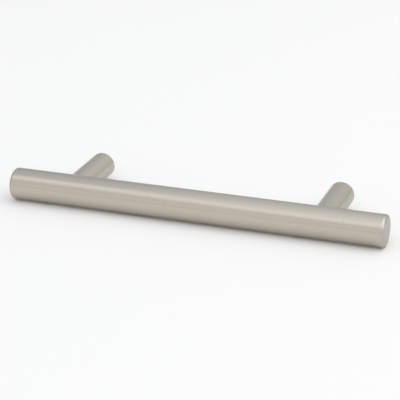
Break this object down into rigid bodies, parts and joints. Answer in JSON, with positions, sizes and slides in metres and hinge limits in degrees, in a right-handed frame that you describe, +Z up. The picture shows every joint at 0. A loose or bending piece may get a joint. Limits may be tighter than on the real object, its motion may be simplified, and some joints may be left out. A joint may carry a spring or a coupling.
{
  "type": "t bar cabinet pull",
  "caption": "Straight round bar pull on short round posts for a drawer or cabinet door, in satin nickel, screwed on from behind.",
  "frame": {"origin": "midway between the two screw holes, on the plane of the drawer front that the post feet sit on", "axes": "+X along the bar, +Y into the drawer front along the screws, +Z up when the bar is fitted level"},
  "size_m": [0.144, 0.035, 0.012],
  "materials": {
    "satin_nickel": "satin nickel plate over a fine brushed grain",
    "stud_steel": "plain zinc-plated steel"
  },
  "bodies": {
    "root": {"bar": "satin_nickel", "post_left": "satin_nickel", "post_right": "satin_nickel", "joining_stud_left": "stud_steel", "joining_stud_right": "stud_steel"}
  },
  "joints": []
}
